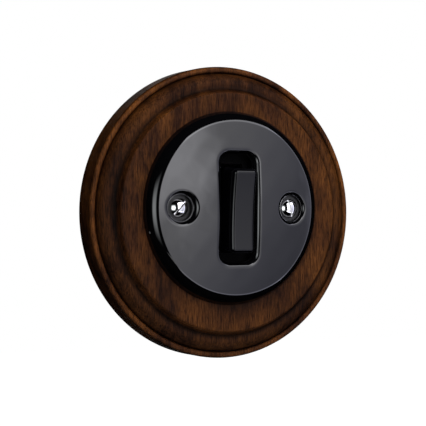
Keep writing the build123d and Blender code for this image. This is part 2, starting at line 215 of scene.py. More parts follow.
# Stage cards that face the switch: name, azimuth, elevation and distance, and the half angles
# that they cover across and up, in degrees
PANELS = (
    ("main_panel", 30.0, 0.0, 0.68, 29.0, 39.0),
    ("side_strip", -35.0, 0.0, 0.66, 18.0, 24.0),
)
FLAGS = (
    ("flag_left", -50.0, 0.0, 0.85, 52.0, 56.0),
    ("flag_far_left", -138.0, 0.0, 0.85, 50.0, 56.0),
    ("flag_right", 104.0, 0.0, 0.85, 46.0, 56.0),
    ("flag_top", 0.0, 90.0, 0.80, 62.0, 62.0),
)

# Soft lamps: name, azimuth, elevation, distance, width and watts
LAMPS = (
    ("lamp_left", -28.0, 42.0, 0.60, 0.30, 1.3),
    ("lamp_right", 38.0, 50.0, 0.44, 0.25, 1.3),
    ("lamp_back_left", -140.0, 30.0, 0.90, 0.40, 5.0),
    ("lamp_back_right", 150.0, 30.0, 0.90, 0.40, 5.0),
)

# Floor, and the black flag that lies just over it
FLOOR_Z = -0.42
FLOOR_SIZE = 8.0
FLOOR_PAINT = 0.82
FLOOR_GLOW = 0.93
LOW_FLAG_SHIFT = 0.20
LOW_FLAG_LIFT = 0.02
LOW_FLAG_SIZE = 2.40


class Shader:
    """A material's node tree, with short calls for the nodes that the finishes need."""

    def __init__(self, name):
        self.material = bpy.data.materials.new(name)
        self.material.use_nodes = True
        self.tree = self.material.node_tree
        self.surface = self.tree.nodes["Principled BSDF"]
        self.place = self.add("ShaderNodeTexCoord").outputs["Object"]

    def add(self, kind, **settings):
        node = self.tree.nodes.new(kind)
        for key, value in settings.items():
            setattr(node, key, value)
        return node

    def put(self, value, socket):
        if isinstance(value, bpy.types.NodeSocket):
            self.tree.links.new(value, socket)
        else:
            socket.default_value = value

    def stretch(self, scale, turn=(0.0, 0.0, 0.0)):
        node = self.add("ShaderNodeMapping")
        self.put(self.place, node.inputs["Vector"])
        node.inputs["Scale"].default_value = scale
        node.inputs["Rotation"].default_value = turn
        return node.outputs["Vector"]

    def noise(self, vector, scale, detail=3.0, rough=0.5, distortion=0.0):
        node = self.add("ShaderNodeTexNoise")
        self.put(vector, node.inputs["Vector"])
        node.inputs["Scale"].default_value = scale
        node.inputs["Detail"].default_value = detail
        node.inputs["Roughness"].default_value = rough
        node.inputs["Distortion"].default_value = distortion
        return node.outputs["Fac"]

    def ramp(self, factor, *stops):
        node = self.add("ShaderNodeValToRGB")
        self.put(factor, node.inputs["Fac"])
        elements = node.color_ramp.elements
        while len(elements) < len(stops):
            elements.new(0.5)
        for element, (place, shade) in zip(elements, stops):
            element.position = place
            element.color = (*shade, 1.0) if isinstance(shade, tuple) else (shade, shade, shade, 1.0)
        return node.outputs["Color"]

    def mix(self, factor, first, second, mode="MIX"):
        node = self.add("ShaderNodeMix", data_type="RGBA", blend_type=mode)
        self.put(factor, node.inputs[0])
        self.put(first, node.inputs[6])
        self.put(second, node.inputs[7])
        return node.outputs[2]

    def maths(self, operation, first, second=0.0):
        node = self.add("ShaderNodeMath", operation=operation)
        self.put(first, node.inputs[0])
        self.put(second, node.inputs[1])
        return node.outputs[0]

    def bump(self, height, depth, normal=None):
        node = self.add("ShaderNodeBump")
        self.put(height, node.inputs["Height"])
        node.inputs["Distance"].default_value = depth
        if normal is not None:
            self.put(normal, node.inputs["Normal"])
        return node.outputs["Normal"]

    def range(self, value, low, high):
        node = self.add("ShaderNodeMapRange")
        self.put(value, node.inputs["Value"])
        node.inputs["To Min"].default_value = low
        node.inputs["To Max"].default_value = high
        return node.outputs["Result"]

    def finish(self, **sockets):
        for name, value in sockets.items():
            socket = self.surface.inputs[name.replace("_", " ")]
            self.put(value, socket)
        return self.material


def rgb(red, green, blue):
    """Colour for a socket."""
    return (red, green, blue, 1.0)


def dark_wood():
    """Turned hardwood under a dark stain, grain upright, pores filled darker."""
    s = Shader("dark_wood")
    fibres = s.noise(s.stretch((1.0, 1.0, 0.10)), 2300.0, 4.0, 0.65)
    broad = s.noise(s.stretch((1.0, 1.0, 0.16)), 260.0, 4.0, 0.6, 0.5)
    patches = s.noise(s.stretch((1.0, 1.0, 0.55)), 60.0, 3.0, 0.55)
    pores = s.noise(s.stretch((1.0, 1.0, 0.16)), 3000.0, 2.0, 0.5)
    ground = s.ramp(broad, (0.34, WOOD_DARK), (0.66, WOOD_LIGHT))
    warm = s.ramp(patches, (0.44, 0.0), (0.62, 1.0))
    colour = s.mix(s.maths("MULTIPLY", warm, 0.65), ground, rgb(*WOOD_WARM))
    shade = s.ramp(fibres, (0.34, 0.30), (0.66, 1.60))
    colour = s.mix(1.0, colour, shade, "MULTIPLY")
    pore_mask = s.ramp(pores, (0.58, 1.0), (0.70, 0.30))
    colour = s.mix(1.0, colour, pore_mask, "MULTIPLY")
    # Painted shade in the cove, the groove and on the outer wall, and a painted highlight on the bead,
    # multiplied into the wood's colour
    colour = s.mix(1.0, colour, painted_shade_and_highlight(s), "MULTIPLY")
    rough = s.range(fibres, 0.42, 0.58)
    fine = s.bump(fibres, 0.00008)
    normal = s.bump(pore_mask, 0.00006, fine)
    return s.finish(Base_Color=colour, Roughness=rough, Normal=normal, Specular_IOR_Level=0.06)


def painted_shade_and_highlight(s):
    """Painted shade and highlight on the turned ring: darker in the cove, in the groove and on the outer
    wall, and lighter on the bead's crest.
    """
    centred = s.add("ShaderNodeMapping")
    s.put(s.place, centred.inputs["Vector"])
    centred.inputs["Location"].default_value = (0.0, 0.0, FRAME_DROP * MM)
    centred.inputs["Scale"].default_value = (1.0, 0.0, 1.0)
    length = s.add("ShaderNodeVectorMath", operation="LENGTH")
    s.put(centred.outputs["Vector"], length.inputs[0])
    groove_r = FRAME_R - BEAD_WIDTH
    cove_r = groove_r - BAND_WIDTH - COVE_WIDTH / 2
    spread = s.add("ShaderNodeMapRange")
    s.put(length.outputs["Value"], spread.inputs["Value"])
    low, high = cove_r - 3.0, FRAME_R + 0.2
    spread.inputs["From Min"].default_value = low * MM
    spread.inputs["From Max"].default_value = high * MM

    def at(radius):
        return (radius - low) / (high - low)

    # Stops below 1 are painted shade; the stops above 1, on the bead, are a painted highlight
    return s.ramp(
        spread.outputs["Result"],
        (at(cove_r - 1.3), 1.0),
        (at(cove_r), 0.20),
        (at(cove_r + 1.8), 0.85),
        (at(groove_r - 0.7), 0.70),
        (at(groove_r), 0.20),
        (at(groove_r + 0.7), 1.5),
        (at(FRAME_R - 0.6), 1.6),
        (at(FRAME_R - 0.05), 0.30),
    )


def black_glaze():
    """Thick black glaze, almost mirror smooth, with a faint swell."""
    s = Shader("black_glaze")
    swell = s.noise(s.place, 60.0, 1.0, 0.4)
    specks = s.noise(s.place, 2500.0, 2.0, 0.5)
    colour = s.mix(swell, rgb(0.0012, 0.0012, 0.0016), rgb(0.0020, 0.0020, 0.0026))
    rough = s.mix(thin_glaze(s), s.range(specks, 0.025, 0.055), rgb(0.55, 0.55, 0.55))
    normal = s.bump(swell, 0.00006)
    return s.finish(Base_Color=colour, Roughness=rough, Normal=normal, IOR=1.62)


def thin_glaze(s):
    """1 down in the window and the screw recesses, where the glaze lies thin and dull, and 0 elsewhere."""
    split = s.add("ShaderNodeSeparateXYZ")
    s.put(s.place, split.inputs["Vector"])
    x, y, z = (split.outputs[axis] for axis in "XYZ")
    square = s.maths("ADD", s.maths("MULTIPLY", x, x), s.maths("MULTIPLY", z, z))
    sag = s.maths("MULTIPLY", square, 0.5 / (DOME_R * MM))
    depth = s.maths("SUBTRACT", s.maths("ADD", y, CROWN_H * MM), sag)
    share = s.maths("MULTIPLY", depth, 1 / (DULL_DEPTH_SPAN * MM))
    deep = s.ramp(share, (DULL_START / DULL_DEPTH_SPAN, 0.0), (DULL_FULL / DULL_DEPTH_SPAN, 1.0))
    radius = s.maths("MULTIPLY", s.maths("SQRT", square), 1 / (DULL_RADIUS_SPAN * MM))
    inner = s.ramp(radius, (DULL_INNER_R / DULL_RADIUS_SPAN, 1.0), (DULL_OUTER_R / DULL_RADIUS_SPAN, 0.0))
    return s.maths("MULTIPLY", deep, inner)


def black_key():
    """Polished black moulding."""
    s = Shader("black_key")
    cloud = s.noise(s.place, 180.0, 2.0, 0.5)
    fine = s.noise(s.place, 3000.0, 2.0, 0.5)
    colour = s.mix(cloud, rgb(0.0010, 0.0010, 0.0016), rgb(0.0018, 0.0018, 0.0027))
    rough = s.range(fine, 0.04, 0.08)
    return s.finish(Base_Color=colour, Roughness=rough, Normal=s.bump(cloud, 0.00001), IOR=1.42)


def black_moulding(name, low, high, specular):
    """Matt pressed insulating moulding."""
    s = Shader(name)
    grit = s.noise(s.place, 5000.0, 3.0, 0.6)
    cloud = s.noise(s.place, 150.0, 3.0, 0.5)
    colour = s.mix(cloud, low, high)
    rough = s.range(grit, 0.55, 0.75)
    normal = s.bump(grit, 0.00003)
    return s.finish(Base_Color=colour, Roughness=rough, Normal=normal, Specular_IOR_Level=specular)


def metal(name, low, high, roughness, grain, stretch=(1.0, 1.0, 1.0), depth=0.00001):
    """Metal with a fine finish, drawn out into lines where its stretch isn't even."""
    s = Shader(name)
    lines = s.noise(s.stretch(stretch), grain, 3.0, 0.6)
    cloud = s.noise(s.place, 220.0, 3.0, 0.5)
    colour = s.mix(cloud, low, high)
    rough = s.range(lines, *roughness)
    normal = s.bump(lines, depth)
    return s.finish(Base_Color=colour, Metallic=1.0, Roughness=rough, Normal=normal)


def make_materials():
    """One finish for each material slot of the record, and a darker one for the cap, whose dark colour is
    painted shade.
    """
    return {
        "dark_wood": dark_wood(),
        "black_glaze": black_glaze(),
        "black_key": black_key(),
        "black_moulding": black_moulding(
            "black_moulding", rgb(0.011, 0.011, 0.012), rgb(0.019, 0.019, 0.020), 0.35
        ),
        # Cap finish: darker colour that is painted shade deep in the window, around the key
        "painted_shade_cap": black_moulding(
            "painted_shade_cap", rgb(0.0020, 0.0020, 0.0023), rgb(0.0040, 0.0040, 0.0044), 0.04
        ),
        "bright_screw": metal(
            "bright_screw", rgb(0.80, 0.80, 0.79), rgb(0.90, 0.90, 0.89), (0.06, 0.13), 2600.0, depth=0.000004
        ),
        "steel": metal(
            "steel", rgb(0.50, 0.51, 0.53), rgb(0.60, 0.61, 0.62), (0.24, 0.38), 2200.0, (1.0, 1.0, 0.08)
        ),
        "brass": metal(
            "brass", rgb(0.72, 0.52, 0.22), rgb(0.83, 0.62, 0.30), (0.18, 0.32), 2400.0, (0.1, 1.0, 1.0)
        ),
        "silver": metal(
            "silver", rgb(0.80, 0.79, 0.77), rgb(0.90, 0.89, 0.87), (0.22, 0.35), 2600.0
        ),
    }


def arc(start, end, bulge, steps):
    """Points of a circular arc from start to end, standing off the chord by bulge on its left."""
    start, end = Vector(start), Vector(end)
    chord = end - start
    half = chord.length / 2
    side = Vector((-chord.y, chord.x)).normalized()
    radius = (half**2 + bulge**2) / (2 * abs(bulge))
    centre = (start + end) / 2 - side * math.copysign(radius - abs(bulge), bulge)
    first = math.atan2(start.y - centre.y, start.x - centre.x)
    sweep = 2 * math.asin(min(1.0, half / radius))
    if abs(bulge) > half:
        sweep = 2 * math.pi - sweep
    turn = -math.copysign(sweep, bulge)
    angles = [first + turn * i / steps for i in range(steps + 1)]
    return [(centre.x + radius * math.cos(a), centre.y + radius * math.sin(a)) for a in angles]


def line(start, end, steps):
    """Points along a straight line."""
    return [
        (start[0] + (end[0] - start[0]) * i / steps, start[1] + (end[1] - start[1]) * i / steps)
        for i in range(steps + 1)
    ]


def joined(*runs):
    """One outline from runs that meet end to end."""
    points = list(runs[0])
    for run in runs[1:]:
        points += run[1:]
    return points


def mesh_object(name, verts, faces, material, sharp_degrees=SHARP_DEGREES):
    """Mesh from points in millimetres (X, height out of the wall, Z), smooth between sharp edges."""
    mesh = bpy.data.meshes.new(name)
    mesh.from_pydata([(x * MM, -h * MM, z * MM) for x, h, z in verts], [], faces)
    mesh.validate()
    mesh.shade_smooth()
    mesh.set_sharp_from_angle(angle=math.radians(sharp_degrees))
    mesh.materials.append(material)
    piece = bpy.data.objects.new(name, mesh)
    bpy.context.scene.collection.objects.link(piece)
    return piece


def turned(name, outline, segments, centre, material, sharp_degrees):
    """Closed outline of (radius, height) points turned about an axis out of the wall."""
    verts, faces = [], []
    count = len(outline)
    for i in range(segments):
        angle = 2 * math.pi * i / segments
        for radius, height in outline:
            verts.append((centre[0] + radius * math.cos(angle), height, centre[1] + radius * math.sin(angle)))
    for i in range(segments):
        here, there = i * count, (i + 1) % segments * count
        for j in range(count):
            k = (j + 1) % count
            faces.append((here + j, here + k, there + k, there + j))
    return mesh_object(name, verts, faces, material, sharp_degrees)


def wooden_frame(material):
    """The turned ring with its bead, groove, band, cove and plateau."""
    groove_r = FRAME_R - BEAD_WIDTH
    band_r = groove_r - BAND_WIDTH
    plateau_r = band_r - COVE_WIDTH
    groove_h = RIM_H + GROOVE_LIFT
    band_h = groove_h + BAND_RISE
    cove_h = FRAME_H - PLATEAU_ROUND
    outline = joined(
        line((FRAME_R, BACK_CHAMFER), (FRAME_R, RIM_H), 8),
        arc((FRAME_R, RIM_H), (groove_r, groove_h), -BEAD_BULGE, 18),
        arc((groove_r, groove_h), (band_r, band_h), -BAND_BULGE, 20),
        arc((band_r, band_h), (plateau_r, cove_h), COVE_BULGE, 10),
        arc((plateau_r, cove_h), (plateau_r - PLATEAU_ROUND, FRAME_H), -PLATEAU_BULGE, 8),
        line((plateau_r - PLATEAU_ROUND, FRAME_H), (BORE_R, FRAME_H), 8),
        line((BORE_R, FRAME_H), (BORE_R, REBATE_H), 3),
        line((BORE_R, REBATE_H), (REBATE_R, REBATE_H), 2),
        line((REBATE_R, REBATE_H), (REBATE_R, 0.0), 1),
        line((REBATE_R, 0.0), (FRAME_R - BACK_CHAMFER, 0.0), 4),
        [(FRAME_R - BACK_CHAMFER, 0.0), (FRAME_R, BACK_CHAMFER)],
    )
    centre = (0.0, -FRAME_DROP)
    return turned("turned_wood_frame", outline[:-1], FRAME_SEGMENTS, centre, material, FRAME_SHARP_DEGREES)


def face_height(x, z):
    """Height of the cover's domed face, with the slow swells of its glaze."""
    inward = min(1.0, max(0.0, (EDGE_START_R - math.hypot(x, z)) / SWELL_FADE))
    fade = inward * inward * (3 - 2 * inward)
    waves = sum(size * math.sin(a * x + b * z + phase) for size, a, b, phase in SWELLS)
    return CROWN_H - DOME_R + math.sqrt(DOME_R**2 - x * x - z * z) + waves * fade


def face_normal(x, z):
    """Direction square to the domed face, as (x, height, z)."""
    step = 0.02
    slope_x = (face_height(x + step, z) - face_height(x - step, z)) / (2 * step)
    slope_z = (face_height(x, z + step) - face_height(x, z - step)) / (2 * step)
    return Vector((-slope_x, 1.0, -slope_z)).normalized()


def under_height(x, z):
    """Height of the cover's underside."""
    return CROWN_H - DOME_R + math.sqrt((DOME_R - COVER_WALL) ** 2 - x * x - z * z)


def round_loop(centre_x, radius, count):
    """Points of a circle, each with the way out from its centre."""
    angles = [2 * math.pi * i / count for i in range(count)]
    return [(centre_x + radius * math.cos(a), radius * math.sin(a), math.cos(a), math.sin(a)) for a in angles]


def oblong_loop(half_x, half_z, corner, offset=0.0):
    """Points of an oblong with round corners, moved out by an offset, each with the way out."""
    flat_x, flat_z = half_x - corner, half_z - corner
    corners = ((flat_x, flat_z, 0), (-flat_x, flat_z, 90), (-flat_x, -flat_z, 180), (flat_x, -flat_z, 270))
    radius = corner + offset
    points = []
    for i, (x, z, first) in enumerate(corners):
        for j in range(CORNER_STEPS + 1):
            a = math.radians(first + 90 * j / CORNER_STEPS)
            points.append((x + radius * math.cos(a), z + radius * math.sin(a), math.cos(a), math.sin(a)))
        last_x, last_z, way_x, way_z = points[-1]
        next_x, next_z, _ = corners[(i + 1) % 4]
        steps = ACROSS_STEPS if abs(next_x - x) > LEAST_RUN else UPRIGHT_STEPS
        for j in range(1, steps):
            share = j / steps
            points.append((last_x + (next_x - x) * share, last_z + (next_z - z) * share, way_x, way_z))
    return points


def window_loop(offset):
    """Outline of the cover's window, moved out by an offset."""
    return oblong_loop(WINDOW_HALF_X, WINDOW_HALF_Z, WINDOW_CORNER, offset)


def rolled_rings(loop_at, roll):
    """Rings of a rolled rim, from the face down to the opening's wall, as points and normals."""
    reach, drop = roll
    rings = []
    for i in range(ROLL_STEPS + 1):
        turn = math.pi / 2 * i / ROLL_STEPS
        inward = math.sin(turn) ** (2 / ROLL_POWER)
        fall = drop * (1 - math.cos(turn))
        rise = drop / reach * ROLL_POWER / 2 * inward ** (ROLL_POWER - 1)
        tilt = math.atan2(rise, math.cos(turn))
        ring = []
        for x, z, way_x, way_z in loop_at(reach * (1 - inward)):
            into = Vector((-way_x, 0.0, -way_z))
            normal = face_normal(x, z) * math.cos(tilt) + into * math.sin(tilt)
            ring.append(((x, face_height(x, z) - fall, z), normal.normalized()))
        rings.append(ring)
    return rings


def edge_rings():
    """Rings of the cover's rolled edge, from the face down to the wood."""
    first = math.asin(EDGE_START_R / DOME_R)
    last = math.acos((FRAME_H - EDGE_CENTRE_H) / EDGE_ROUND)
    rings = []
    for i in range(EDGE_STEPS + 1):
        turn = first + (last - first) * i / EDGE_STEPS
        radius = EDGE_CENTRE_R + EDGE_ROUND * math.sin(turn)
        height = EDGE_CENTRE_H + EDGE_ROUND * math.cos(turn)
        rings.append([
            ((x, height, z), Vector((way_x * math.sin(turn), math.cos(turn), way_z * math.sin(turn))))
            for x, z, way_x, way_z in round_loop(0.0, radius, COVER_SEGMENTS)
        ])
    return rings


def flat_ring(loop, height_at):
    """Ring without a normal of its own, at a height that is a number or a function of place."""
    return [((x, height_at(x, z) if callable(height_at) else height_at, z), None) for x, z, _, _ in loop]


def turn_outward(mesh):
    """Turns every face's outside out."""
    shape = bmesh.new()
    shape.from_mesh(mesh)
    bmesh.ops.recalc_face_normals(shape, faces=shape.faces)
    shape.to_mesh(mesh)
    shape.free()


class Shell:
    """Closed mesh put together from rings and filled faces."""

    def __init__(self):
        self.verts, self.normals, self.faces, self.glazed = [], [], [], []

    def ring(self, points):
        start = len(self.verts)
        self.verts += [place for place, _ in points]
        self.normals += [normal for _, normal in points]
        return list(range(start, len(self.verts)))

    def strip(self, rings, first, glazed):
        """Quads between rings; the first ring may be one that is there already."""
        here = first if first is not None else self.ring(rings[0])
        for points in rings[1:]:
            there = self.ring(points)
            self.bridge(here, there, glazed)
            here = there
        return here

    def bridge(self, here, there, glazed):
        count = len(here)
        for i in range(count):
            j = (i + 1) % count
            self.faces.append((here[i], here[j], there[j], there[i]))
            self.glazed.append(glazed)

    def fill(self, loops, inside, step, height_at, normal_at):
        """Triangles between closed loops, on an even net of points where inside(x, z, margin) holds."""
        index = [i for loop in loops for i in loop]
        flat = [Vector((self.verts[i][0], self.verts[i][2])) for i in index]
        edges, start = [], 0
        for loop in loops:
            count = len(loop)
            edges += [(start + i, start + (i + 1) % count) for i in range(count)]
            start += count
        rows = int(2 * COVER_R / (step * ROW_SHARE))
        for row in range(rows):
            z = -COVER_R + row * step * ROW_SHARE
            for column in range(int(2 * COVER_R / step)):
                x = -COVER_R + (column + row % 2 / 2) * step
                if inside(x, z, step * NET_MARGIN):
                    index.append(len(self.verts))
                    flat.append(Vector((x, z)))
                    self.verts.append((x, height_at(x, z), z))
                    self.normals.append(normal_at(x, z) if normal_at else None)
        places, _, faces, source, _, _ = delaunay_2d_cdt(flat, edges, [], 0, 1e-6)
        for face in faces:
            x = sum(places[i].x for i in face) / 3
            z = sum(places[i].y for i in face) / 3
            if inside(x, z, 0.0):
                self.faces.append(tuple(index[source[i][0]] for i in face))
                self.glazed.append(normal_at is not None)

    def make(self, name, material):
        """Mesh with the outside turned out, and the worked-out normals on the glazed faces."""
        piece = mesh_object(name, self.verts, self.faces, material)
        mesh = piece.data
        turn_outward(mesh)
        split = []
        for polygon, glazed in zip(mesh.polygons, self.glazed):
            for corner in polygon.vertices:
                normal = self.normals[corner]
                if glazed and normal is not None:
                    split.append((normal.x, -normal.y, normal.z))
                else:
                    split.append((0.0, 0.0, 0.0))
        mesh.normals_split_custom_set(split)
        return piece


def window_distance(x, z):
    """How far a place lies outside the window's outline."""
    out_x, out_z = abs(x) - WINDOW_HALF_X + WINDOW_CORNER, abs(z) - WINDOW_HALF_Z + WINDOW_CORNER
    return math.hypot(max(out_x, 0.0), max(out_z, 0.0)) + min(max(out_x, out_z), 0.0) - WINDOW_CORNER


def glazed_cover(material):
    """The ceramic cover: face, rolled rims and edge, screw seats, and its hollow underside."""
    shell = Shell()

    def on_face(x, z, margin):
        seats = min(math.hypot(x - side * SCREW_OFFSET, z) for side in (-1, 1))
        clear = seats > RECESS_R + RECESS_ROLL[0] + margin and window_distance(x, z) > WINDOW_ROLL[0] + margin
        return clear and math.hypot(x, z) < EDGE_START_R - margin

    def under_face(x, z, margin):
        bosses = min(math.hypot(x - side * SCREW_OFFSET, z) for side in (-1, 1))
        clear = bosses > BOSS_R + margin and window_distance(x, z) > margin
        return clear and math.hypot(x, z) < INNER_R - margin

    tops, unders = [], []
    rings = edge_rings()
    top = shell.ring(rings[0])
    foot = shell.strip(rings, top, True)
    hollow = round_loop(0.0, INNER_R, COVER_SEGMENTS)
    inside = [flat_ring(hollow, height) for height in (FRAME_H, under_height)]
    unders.append(shell.strip([None] + inside, foot, False))
    tops.append(top)

    rings = rolled_rings(window_loop, WINDOW_ROLL)
    top = shell.ring(rings[0])
    wall = shell.strip(rings, top, True)
    unders.append(shell.strip([None, flat_ring(window_loop(0.0), under_height)], wall, False))
    tops.append(top)

    for side in (-1, 1):
        def recess_loop(offset):
            return round_loop(side * SCREW_OFFSET, RECESS_R + offset, RECESS_SEGMENTS)

        rings = rolled_rings(recess_loop, RECESS_ROLL)
        top = shell.ring(rings[0])
        wall = shell.strip(rings, top, True)
        steps = (
            (RECESS_R, SEAT_H),
            (SCREW_HOLE_R, SEAT_H),
            (SCREW_HOLE_R, BOSS_FOOT),
            (BOSS_R, BOSS_FOOT),
            (BOSS_R, under_height),
        )
        below = [flat_ring(recess_loop(radius - RECESS_R), height) for radius, height in steps]
        unders.append(shell.strip([None] + below, wall, False))
        tops.append(top)

    shell.fill(tops, on_face, FACE_STEP, face_height, face_normal)
    shell.fill(unders, under_face, UNDER_STEP, under_height, None)
    return shell.make("glazed_cover", material)


def key_face_h(x, z):
    """Height of the key's hollowed face, level."""
    return KEY_TIP_H - KEY_HOLLOW + KEY_FACE_R - math.sqrt(KEY_FACE_R**2 - z * z)


def key_face_normal(x, z):
    """Direction square to the key's face, level."""
    return Vector((0.0, math.sqrt(KEY_FACE_R**2 - z * z), -z)).normalized()


def leaned(place):
    """Turns a level place of the key about its pivot to where it rests."""
    x, h, z = place
    rise, out = math.sin(KEY_LEAN), math.cos(KEY_LEAN)
    return (x, PIVOT_H + z * rise + (h - PIVOT_H) * out, z * out - (h - PIVOT_H) * rise)


def rocker_key(material):
    """The key: hollowed face with rolled edges, shoulder, stem and the barrel of its tail."""
    shell = Shell()
    rings = []
    for i in range(KEY_STEPS + 1):
        turn = math.pi / 2 * i / KEY_STEPS
        ring = []
        inset = -KEY_ROUND * (1 - math.sin(turn))
        for x, z, way_x, way_z in oblong_loop(KEY_HALF_X, KEY_HALF_Z, KEY_CORNER, inset):
            out = Vector((way_x, 0.0, way_z))
            normal = key_face_normal(x, z) * math.cos(turn) + out * math.sin(turn)
            ring.append(((x, key_face_h(x, z) - KEY_ROUND * (1 - math.cos(turn)), z), normal.normalized()))
        rings.append(ring)
    top = shell.ring(rings[0])
    side = shell.strip(rings, top, True)
    outline = ((KEY_HALF_X, KEY_SHOULDER_H), (KEY_STEM_X, KEY_SHOULDER_H), (KEY_STEM_X, KEY_SKIRT_H))
    below = [flat_ring(oblong_loop(x, KEY_HALF_Z, KEY_CORNER), h) for x, h in outline]
    tail = ((TAIL_R, TAIL_TOP), (TAIL_R, TAIL_END), (BARREL_R, TAIL_END), (BARREL_R, BARREL_TOP))
    below += [flat_ring(oblong_loop(r, r, r - TAIL_FLAT), h) for r, h in tail]
    end = shell.strip([None] + below, side, False)

    def on_key(x, z, margin):
        return abs(x) < KEY_HALF_X - KEY_ROUND - margin and abs(z) < KEY_HALF_Z - KEY_ROUND - margin

    shell.fill([top], on_key, FACE_STEP, key_face_h, key_face_normal)
    shell.faces.append(tuple(end))
    shell.glazed.append(False)
    shell.verts = [leaned(place) for place in shell.verts]
    level = leaned((0.0, PIVOT_H, 0.0))
    for i, normal in enumerate(shell.normals):
        if normal is not None:
            tip = leaned((normal.x, PIVOT_H + normal.y, normal.z))
            shell.normals[i] = Vector([a - b for a, b in zip(tip, level)])
    return shell.make("glossy_key", material)


def cover_screw(name, side, slot_degrees, material):
    """Domed screw on its seat in the cover, with the slot cut across and the shank in the pillar."""
    x = side * SCREW_OFFSET
    edge_h = SEAT_H + HEAD_EDGE
    curve = (HEAD_R**2 + HEAD_DOME**2) / (2 * HEAD_DOME)
    outline = [(SHANK_R, SEAT_H - SHANK_LENGTH), (SHANK_R, SEAT_H), (HEAD_R, SEAT_H), (HEAD_R, edge_h)]
    for i in range(1, HEAD_STEPS + 1):
        radius = HEAD_R * (1 - i / (HEAD_STEPS + 0.5))
        outline.append((radius, edge_h + HEAD_DOME - curve + math.sqrt(curve**2 - radius**2)))
    shell = Shell()
    rings = [flat_ring(round_loop(x, radius, HEAD_SEGMENTS), height) for radius, height in outline]
    foot = shell.ring(rings[0])
    crown = shell.strip([None] + rings[1:], foot, False)
    piece = mesh_object(name, shell.verts, shell.faces + [tuple(foot), tuple(crown)], material)
    turn_outward(piece.data)
    cut_slot(piece, x, edge_h + HEAD_DOME, math.radians(slot_degrees))
    return piece


def cut_slot(piece, x, top, angle):
    """Cuts the screwdriver slot across a screw's head."""
    along = (math.cos(angle), math.sin(angle))
    verts = []
    for height in (top - HEAD_SLOT_DEPTH, top + CUTTER_CLEARANCE):
        for u, v in ((-1, -1), (1, -1), (1, 1), (-1, 1)):
            reach, half = u * 2 * HEAD_R, v * HEAD_SLOT / 2
            verts.append((x + along[0] * reach - along[1] * half, height, along[1] * reach + along[0] * half))
    faces = [(0, 1, 2, 3), (7, 6, 5, 4), (0, 4, 5, 1), (1, 5, 6, 2), (2, 6, 7, 3), (3, 7, 4, 0)]
    cutter = mesh_object("slot_cutter", verts, faces, piece.data.materials[0])
    turn_outward(cutter.data)
    cut = piece.modifiers.new("slot", "BOOLEAN")
    cut.object = cutter
    cut.operation = "DIFFERENCE"
    cut.solver = "EXACT"
    mesh = bpy.data.meshes.new_from_object(piece.evaluated_get(bpy.context.evaluated_depsgraph_get()))
    piece.modifiers.clear()
    piece.data = mesh
    bpy.data.objects.remove(cutter)
    mesh.set_sharp_from_angle(angle=math.radians(SHARP_DEGREES))


def card(name, centre, size, facing, material):
    """Flat stage card that looks at a point."""
    mesh = bpy.data.meshes.new(name)
    w, h = size[0] / 2, size[1] / 2
    mesh.from_pydata([(-w, -h, 0), (w, -h, 0), (w, h, 0), (-w, h, 0)], [], [(0, 1, 2, 3)])
    mesh.materials.append(material)
    piece = bpy.data.objects.new(name, mesh)
    piece.location = centre
    piece.rotation_mode = "QUATERNION"
    piece.rotation_quaternion = (Vector(facing) - Vector(centre)).to_track_quat("Z", "Y")
    bpy.context.scene.collection.objects.link(piece)
    return piece


def direction(azimuth, elevation, distance):
    """Point seen from the switch at an azimuth (0 is straight out of the wall, 90 is right)."""
    a, e = math.radians(azimuth), math.radians(elevation)
    return Vector((math.sin(a) * math.cos(e), -math.cos(a) * math.cos(e), math.sin(e))) * distance


def stage_material(name):
    """Bare material and its tree for floor, panels and flags."""
    material = bpy.data.materials.new(name)
    material.use_nodes = True
    material.node_tree.nodes.clear()
    return material, material.node_tree


def maths(tree, operation, first, second=0.0, third=0.0):
    """One arithmetic node of a stage material."""
    node = tree.nodes.new("ShaderNodeMath")
    node.operation = operation
    for value, socket in zip((first, second, third), node.inputs):
        if isinstance(value, bpy.types.NodeSocket):
            tree.links.new(value, socket)
        else:
            socket.default_value = value
    return node.outputs[0]


def smooth(tree, value, low, high):
    """0 below low, 1 above high, and a soft step between."""
    node = tree.nodes.new("ShaderNodeMapRange")
    node.interpolation_type = "SMOOTHSTEP"
    tree.links.new(value, node.inputs["Value"])
    node.inputs["From Min"].default_value = low
    node.inputs["From Max"].default_value = high
    return node.outputs["Result"]


def panel_place(tree):
    """Position on a panel: 1 at its left and 1 at its top, seen from the front."""
    place = tree.nodes.new("ShaderNodeTexCoord")
    split = tree.nodes.new("ShaderNodeSeparateXYZ")
    tree.links.new(place.outputs["Generated"], split.inputs["Vector"])
    return split.outputs["X"], split.outputs["Y"]


def glow_material(name, build):
    """Emitting cloth whose strength and colour are worked out by build(tree)."""
    material, tree = stage_material(name)
    strength, colour = build(tree)
    glow = tree.nodes.new("ShaderNodeEmission")
    tree.links.new(strength, glow.inputs["Strength"])
    if isinstance(colour, bpy.types.NodeSocket):
        tree.links.new(colour, glow.inputs["Color"])
    else:
        glow.inputs["Color"].default_value = colour
    out = tree.nodes.new("ShaderNodeOutputMaterial")
    tree.links.new(glow.outputs[0], out.inputs["Surface"])
    return material


